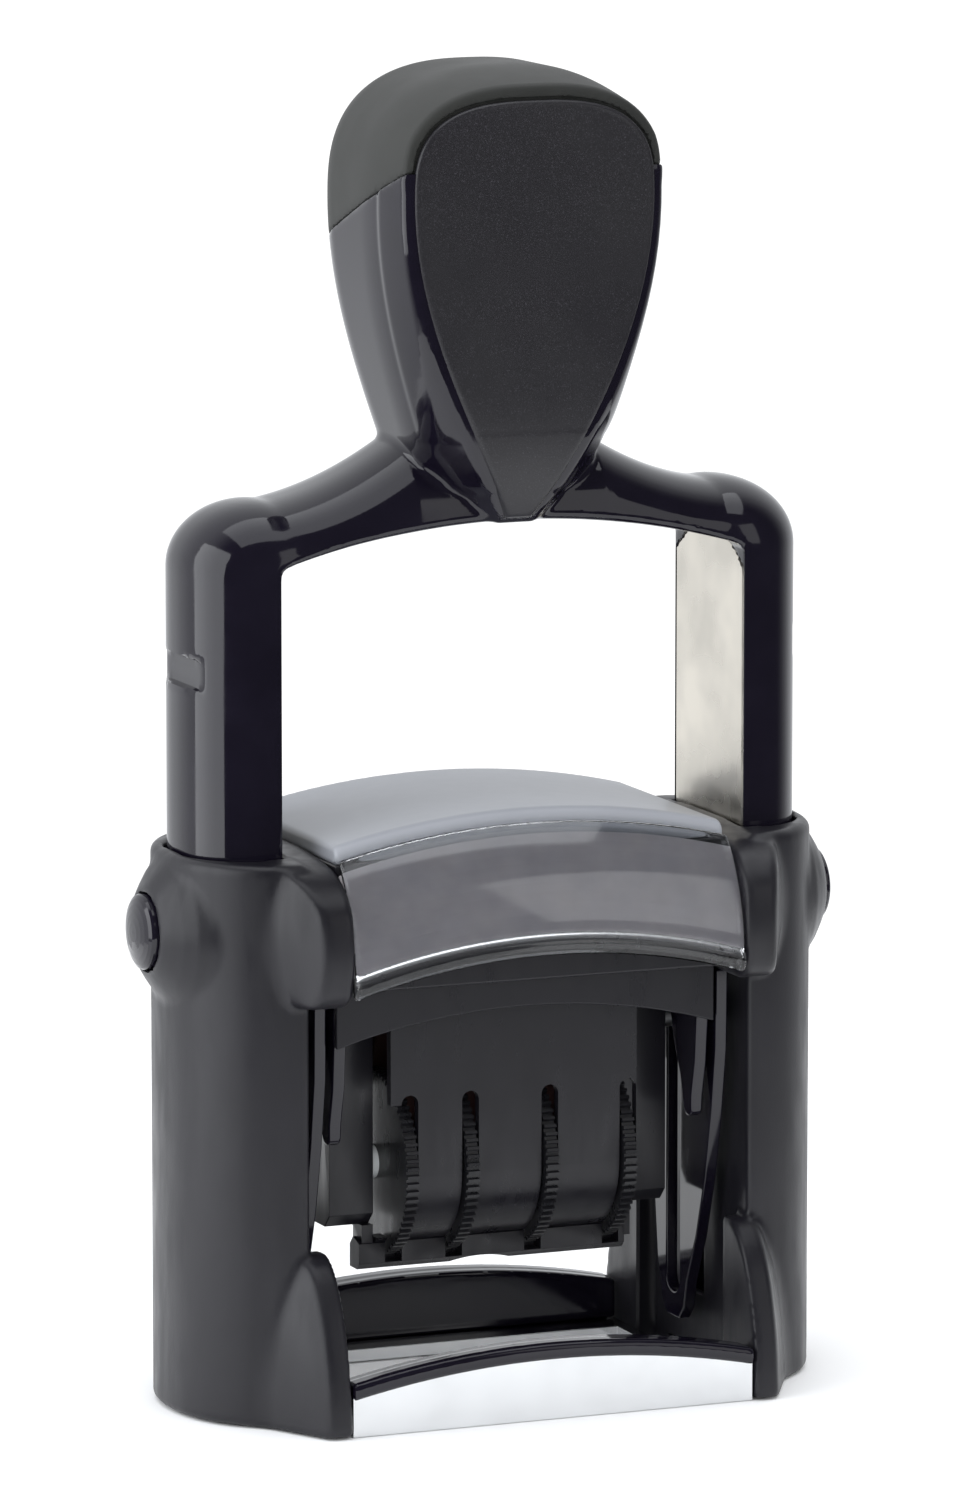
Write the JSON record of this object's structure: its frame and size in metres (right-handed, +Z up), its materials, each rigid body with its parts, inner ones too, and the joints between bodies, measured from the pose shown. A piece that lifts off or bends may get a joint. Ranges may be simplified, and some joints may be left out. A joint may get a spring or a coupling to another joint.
{
  "type": "rotary date stamp",
  "caption": "Self-inking date stamp: a sliding handle flips a carriage with text die, date bands and thumbwheels from the ink pad down through a window in the base plate.",
  "frame": {"origin": "centre of the footprint, on the underside of the base plate", "axes": "+X to the right, +Y to the back, +Z up along the handle"},
  "size_m": [0.0872, 0.0458, 0.1558],
  "materials": {
    "steel_plate": "polished",
    "column_black": "fine grain",
    "gloss_black": "glossy",
    "frame_black": "satin",
    "cap_soft": "soft touch",
    "badge_grey": "satin with fine sparkle",
    "cover_grey": "satin",
    "clear": "clear",
    "card_grey": "paper card",
    "nickel": "satin nickel",
    "screw_steel": "zinc plated",
    "spring_steel": "drawn wire",
    "white_nylon": "moulded",
    "die_rubber": "moulded",
    "band_rubber": "moulded",
    "ink_felt": "inked felt",
    "plate_alu": "satin",
    "wheel_black": "moulded"
  },
  "bodies": {
    "base": {"base_plate": "steel_plate", "front_sill": "gloss_black", "rear_sill": "gloss_black", "left_column": "column_black", "right_column": "column_black", "left_guide_plate": "gloss_black", "right_guide_plate": "gloss_black", "left_ear": "gloss_black", "right_ear": "gloss_black", "bridge_frame": "frame_black", "front_skirt": "frame_black", "top_cover": "cover_grey", "front_window": "clear", "index_card": "card_grey", "base_screws": "screw_steel", "left_return_spring": "spring_steel", "right_return_spring": "spring_steel", "left_button_spring": "spring_steel", "right_button_spring": "spring_steel"},
    "cassette": {"pad_cassette": "gloss_black", "ink_pad": "ink_felt"},
    "handle": {"handle_arch": "gloss_black", "head_shell": "gloss_black", "head_cap": "cap_soft", "front_badge": "badge_grey", "steel_bracket": "nickel", "neck_screws": "screw_steel"},
    "carriage": {"carriage_frame": "frame_black", "carriage_cover": "frame_black", "flip_pins": "screw_steel", "wheel_axle": "white_nylon", "die_plate": "plate_alu", "text_die": "die_rubber", "band_nose": "frame_black", "day_tens_band": "band_rubber", "day_units_band": "band_rubber", "month_band": "band_rubber", "year_band": "band_rubber"},
    "wheel_day_tens": {"day_tens_wheel": "wheel_black"},
    "wheel_day_units": {"day_units_wheel": "wheel_black"},
    "wheel_month": {"month_wheel": "wheel_black"},
    "wheel_year": {"year_wheel": "wheel_black"},
    "button_left": {"left_lock_button": "gloss_black"},
    "button_right": {"right_lock_button": "gloss_black"}
  },
  "joints": [
    {"name": "handle_slide", "type": "slide", "parent": "base", "child": "handle", "axis": [0, 0, -1], "range_m": [0, 0.032], "stiffness_N_per_m": 400, "springref_m": -0.03, "deforming": ["left_return_spring", "right_return_spring"]},
    {"name": "carriage_flip", "type": "hinge", "parent": "handle", "child": "carriage", "pos_m": [0, 0, 0.0425], "axis": [-1, 0, 0], "range_deg": [0, 180]},
    {"name": "cassette_slide", "type": "slide", "parent": "base", "child": "cassette", "axis": [0, 1, 0], "range_m": [0, 0.045]},
    {"name": "left_button_push", "type": "slide", "parent": "base", "child": "button_left", "axis": [1, 0, 0], "range_m": [0, 0.0012], "stiffness_N_per_m": 600, "springref_m": -0.002},
    {"name": "right_button_push", "type": "slide", "parent": "base", "child": "button_right", "axis": [-1, 0, 0], "range_m": [0, 0.0012], "stiffness_N_per_m": 600, "springref_m": -0.002},
    {"name": "day_tens_turn", "type": "hinge", "parent": "carriage", "child": "wheel_day_tens", "pos_m": [0, 0, 0.0274], "axis": [1, 0, 0], "continuous": true},
    {"name": "day_units_turn", "type": "hinge", "parent": "carriage", "child": "wheel_day_units", "pos_m": [0, 0, 0.0274], "axis": [1, 0, 0], "continuous": true},
    {"name": "month_turn", "type": "hinge", "parent": "carriage", "child": "wheel_month", "pos_m": [0, 0, 0.0274], "axis": [1, 0, 0], "continuous": true},
    {"name": "year_turn", "type": "hinge", "parent": "carriage", "child": "wheel_year", "pos_m": [0, 0, 0.0274], "axis": [1, 0, 0], "continuous": true}
  ],
  "couplings": [
    {"joint": "carriage_flip", "follows": "handle_slide", "rad_per_m": 98.17}
  ]
}
